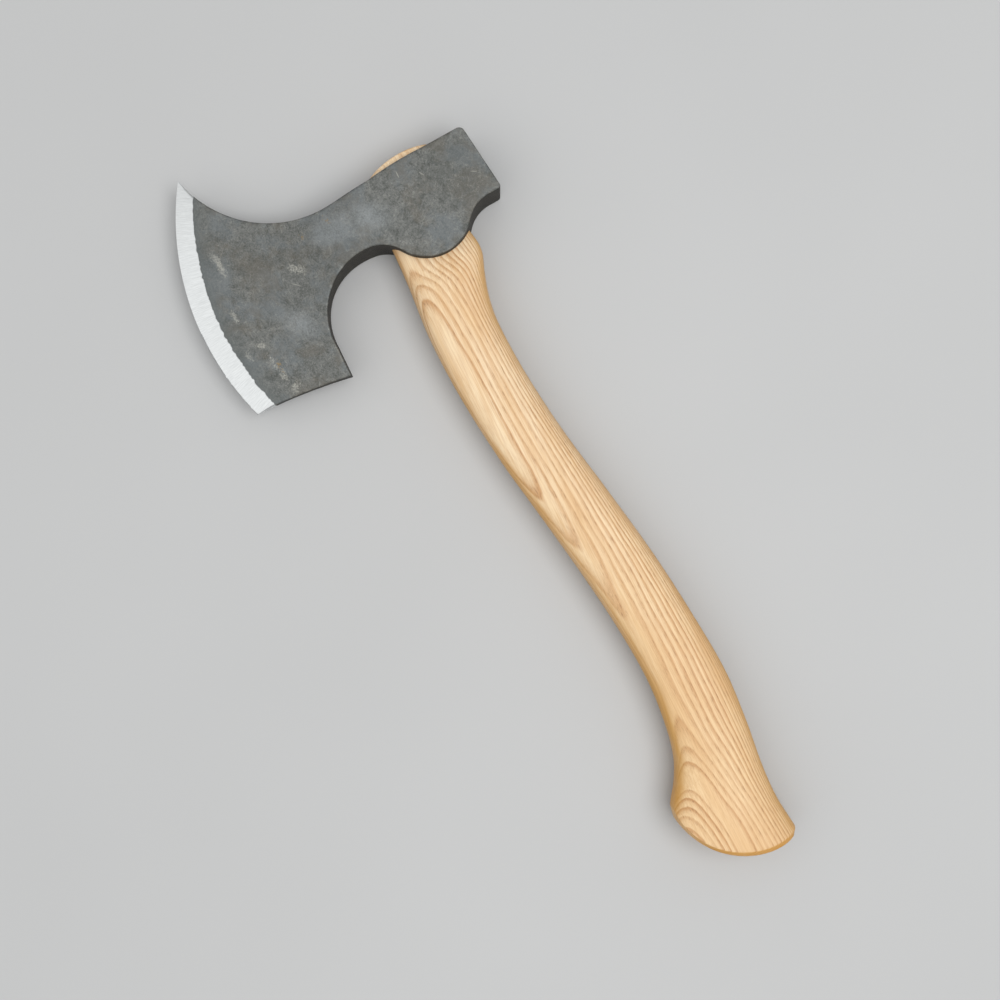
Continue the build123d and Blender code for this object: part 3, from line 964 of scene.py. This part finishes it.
def patchy_scale(tree, place, elsewhere, tone):
    """Grey scale, bluish and brownish in patches, with painted sheen in places, and darker towards the poll.
    """
    broad = cloud(tree, place, (0.045, 0.045, 0.045), detail=5.0, roughness=0.65)
    veil = cloud(tree, elsewhere, (0.06, 0.06, 0.06), detail=5.0, roughness=0.65)
    scale = blend(tree, ramp(tree, tone, [(0.4, 0.0), (0.6, 1.0)]), SCALE_DARK, SCALE_LIGHT)
    scale = blend(tree, ramp(tree, broad, [(0.48, 0.0), (0.58, 0.4)]), scale, SCALE_BLUE)
    scale = blend(tree, ramp(tree, veil, [(0.49, 0.0), (0.6, 0.42)]), scale, SCALE_BROWN)
    # Painted sheen: lighter, bluish scale in patches where the slopes catch the light.
    gleam = ramp(tree, tone, [(0.34, 0.25), (0.58, 0.95)])
    painted_sheen = calc(tree, "MULTIPLY", place_mask(tree, place, PAINTED_SHEEN_PLACES), gleam)
    scale = blend(tree, painted_sheen, scale, SCALE_PAINTED_SHEEN)
    # Darker towards the poll.
    dull = calc(tree, "MULTIPLY", place_mask(tree, place, DARKER_PLACES), 0.3)
    return blend(tree, dull, scale, SCALE_DARK)


def add_veins(tree, elsewhere, mottle, scale):
    """Thin pale veins where the mottling is strong."""
    wrinkled = cloud(tree, elsewhere, (0.2, 0.2, 0.2), detail=5.0, distortion=1.5)
    fold = calc(tree, "ABSOLUTE", calc(tree, "SUBTRACT", wrinkled, 0.5))
    strong = ramp(tree, mottle, [(0.46, 0.0), (0.58, 1.0)])
    veins = calc(tree, "MULTIPLY", ramp(tree, fold, [(0.0, 1.0), (0.022, 0.0)]), strong)
    return blend(tree, calc(tree, "MULTIPLY", veins, 0.4), scale, SCALE_FLAKE)


def past_threshold(tree, speckle, spots, highest, lowered, steepness):
    """How far speckle rises past a threshold, which is lowered in the spots. From 0 to 1."""
    threshold = calc(tree, "SUBTRACT", highest, calc(tree, "MULTIPLY", spots, lowered))
    above = calc(tree, "MULTIPLY", calc(tree, "SUBTRACT", speckle, threshold), steepness)
    return ramp(tree, above, [(0, 0.0), (1, 1.0)])


def add_flakes(tree, place, grain, scale):
    """Ragged pale flakes, most of them in places, and scratches. Gives where the flakes are as well."""
    ragged = cloud(tree, place, (0.3, 0.3, 0.3), detail=8.0, roughness=0.78, distortion=1.2)
    flakes = past_threshold(tree, ragged, place_mask(tree, place, FLAKED_PLACES), 0.68, 0.32, 9.0)
    flakes = calc(tree, "MULTIPLY", flakes, ramp(tree, grain, [(0.4, 0.15), (0.58, 0.85)]))
    scale = blend(tree, flakes, scale, SCALE_FLAKE)
    scratches = ramp(tree, place_mask(tree, place, SCRATCHED_PLACES), [(0.2, 0.0), (0.6, 0.6)])
    return flakes, blend(tree, scratches, scale, SCALE_FLAKE)


def add_rust(tree, place, scale):
    """Specks of rust, most of them in places."""
    specks = cloud(tree, place, (0.9, 0.9, 0.9), detail=3.0, roughness=0.6)
    rust = past_threshold(tree, specks, place_mask(tree, place, RUSTED_PLACES), 0.76, 0.27, 12.0)
    return blend(tree, calc(tree, "MULTIPLY", rust, 0.6), scale, SCALE_RUST)


def forge_scale(tree, place, ground):
    """The colour of the scale, darker along the bevel, its relief, and its mottling."""
    grain = cloud(tree, place, (1.2, 1.2, 1.2), detail=5.0, roughness=0.75)
    mottle = cloud(tree, place, (0.13, 0.13, 0.13), detail=9.0, roughness=0.76, distortion=1.2)
    elsewhere = add(tree, "VectorMath", {0: place, 1: (90, 40, 0)}, operation="ADD")
    tone = calc(tree, "ADD", calc(tree, "MULTIPLY", grain, 0.5), calc(tree, "MULTIPLY", mottle, 0.5))
    scale = patchy_scale(tree, place, elsewhere, tone)
    scale = add_veins(tree, elsewhere, mottle, scale)
    flakes, scale = add_flakes(tree, place, grain, scale)
    scale = add_rust(tree, place, scale)
    near = calc(tree, "ADD", calc(tree, "MULTIPLY", ground, 0.1), 1.0)
    quenched = ramp(tree, near, [(0.0, 0.0), (0.7, 0.35), (1.0, 0.7)])
    scale = blend(tree, quenched, scale, SCALE_QUENCHED)
    relief = calc(tree, "ADD", calc(tree, "MULTIPLY", grain, 0.9), calc(tree, "MULTIPLY", mottle, 1.5))
    return scale, calc(tree, "SUBTRACT", relief, calc(tree, "MULTIPLY", flakes, 0.12)), mottle


def forged_material():
    """Mill scale over forged steel, with a ground bevel along the cutting edge, painted shade on the upright
    walls and painted sheen in patches.
    """
    material, tree, shader, place = new_material("forged_scale_ground_edge")
    ground, sweep = attribute(tree, "ground"), attribute(tree, "sweep")
    rim, wall = attribute(tree, "rim"), attribute(tree, "wall")
    bevel = ramp(tree, calc(tree, "ADD", calc(tree, "MULTIPLY", ground, 2.5), 0.5), [(0, 0.0), (1, 1.0)])
    lines, steel = ground_steel(tree, ground, sweep)
    scale, relief, mottle = forge_scale(tree, place, ground)
    # Painted shade: the upright walls are painted nearly black.
    upright = ramp(tree, wall, [(0.3, 0.0), (0.85, 1.0)], True)
    painted_wall_shade = blend(tree, ramp(tree, mottle, [(0.4, 0.0), (0.62, 1.0)]), PAINTED_WALL_SHADE_DARK, PAINTED_WALL_SHADE_PALE)
    scale = blend(tree, calc(tree, "MULTIPLY", upright, 0.93), scale, painted_wall_shade)
    level = ramp(tree, wall, [(0.3, 1.0), (0.8, 0.0)])
    worn = calc(tree, "MULTIPLY", ramp(tree, rim, [(0.6, 0.0), (0.9, 0.6)]), level)
    worn = calc(tree, "MULTIPLY", worn, ramp(tree, mottle, [(0.48, 0.0), (0.62, 0.8)]))
    scale = blend(tree, worn, scale, SCALE_FLAKE)
    plug(tree, shader, Base_Color=blend(tree, bevel, scale, steel))

    dull = ramp(tree, mottle, [(0.3, 0.46), (0.7, 0.64)])
    satin = ramp(tree, lines, [(0.3, 0.28), (0.7, 0.4)])
    plug(tree, shader, Roughness=blend(tree, bevel, dull, satin))
    dark = blend(tree, upright, (0.35, 0.35, 0.35), (0.05, 0.05, 0.05))
    plug(tree, shader, Metallic=blend(tree, bevel, dark, (1, 1, 1)))
    plug(tree, shader, Specular_IOR_Level=ramp(tree, upright, [(0, 0.5), (1, 0.1)]))
    height = blend(tree, bevel, relief, calc(tree, "MULTIPLY", lines, 0.3))
    plug(tree, shader, Normal=bump(tree, height, 0.25, 0.7))
    return material


def floor_material():
    material, tree, shader, place = new_material("pale_floor")
    tone = cloud(tree, place, (0.004, 0.004, 0.004), detail=2.0)
    plug(tree, shader, Base_Color=blend(tree, tone, FLOOR_LOW, FLOOR_HIGH))
    shader.inputs["Roughness"].default_value = 0.85
    shader.inputs["Specular IOR Level"].default_value = 0.15
    return material


def dress(piece, material, node):
    """Gives a piece its material and hides the CAD node it stands for."""
    piece.data.materials.clear()
    piece.data.materials.append(material)
    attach(piece, "root")
    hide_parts(node)


# ---- The hatchet ----
def make_hatchet():
    tongue = new_mesh("tongue", *tube(*slot_rows(0)))
    eye = new_mesh("eye", *tube(*eye_rows()))
    head = make_head_mesh(eye)
    wooden_piece, steel_piece, wooden_slot, steel_slot = make_wedges()
    handle = make_handle_mesh(head, tongue, (wooden_slot, steel_slot))
    discard(tongue, eye, wooden_slot, steel_slot)
    dress(head, forged_material(), "head")
    dress(handle, handle_material(), "handle")
    dress(wooden_piece, wooden_wedge_material(), "wooden_wedge")
    dress(steel_piece, steel_wedge_material(), "steel_wedge")


# ---- Stage ----
def make_floor():
    bpy.ops.mesh.primitive_plane_add(size=FLOOR_SIZE, location=FLOOR_MIDDLE)
    floor = bpy.context.object
    floor.name = "floor"
    floor.data.materials.append(floor_material())


def soft_light(name, place, size, power, aim):
    light = bpy.data.lights.new(name, "AREA")
    light.shape, light.size, light.energy = "DISK", size, power
    lamp = bpy.data.objects.new(name, light)
    bpy.context.scene.collection.objects.link(lamp)
    lamp.location = place
    lamp.rotation_euler = (Vector(aim) - Vector(place)).to_track_quat("-Z", "Y").to_euler()


def light_studio():
    """A soft sky, brightest overhead, a large lamp past the cutting edge and a smaller one past the knob."""
    world = bpy.data.worlds.new("studio")
    bpy.context.scene.world = world
    world.use_nodes = True
    tree = world.node_tree
    direction = tree.nodes.new("ShaderNodeTexCoord").outputs["Generated"]
    add(tree, "SeparateXYZ", {"Vector": direction})
    climb = tree.nodes[-1].outputs["Z"]
    glow = ramp(tree, climb, [(0.0, SKY_HORIZON), (0.8, SKY_OVERHEAD)], True)
    tree.links.new(glow, tree.nodes["Background"].inputs["Color"])
    for lamp in LAMPS:
        soft_light(*lamp)


def place_camera():
    """Straight down on the hatchet, turned so that the handle runs down to the right."""
    data = bpy.data.cameras.new("camera")
    camera = bpy.data.objects.new("camera", data)
    bpy.context.scene.collection.objects.link(camera)
    camera.location = (*CAMERA_OVER, MID_Z * MM + CAMERA_HEIGHT)
    camera.rotation_euler = (0, 0, CAMERA_TURN)
    data.sensor_width = SENSOR
    data.lens = SENSOR * CAMERA_HEIGHT / VIEW_WIDTH
    bpy.context.scene.camera = camera


make_hatchet()
make_floor()
light_studio()
place_camera()
bpy.context.scene.view_settings.view_transform = "Standard"
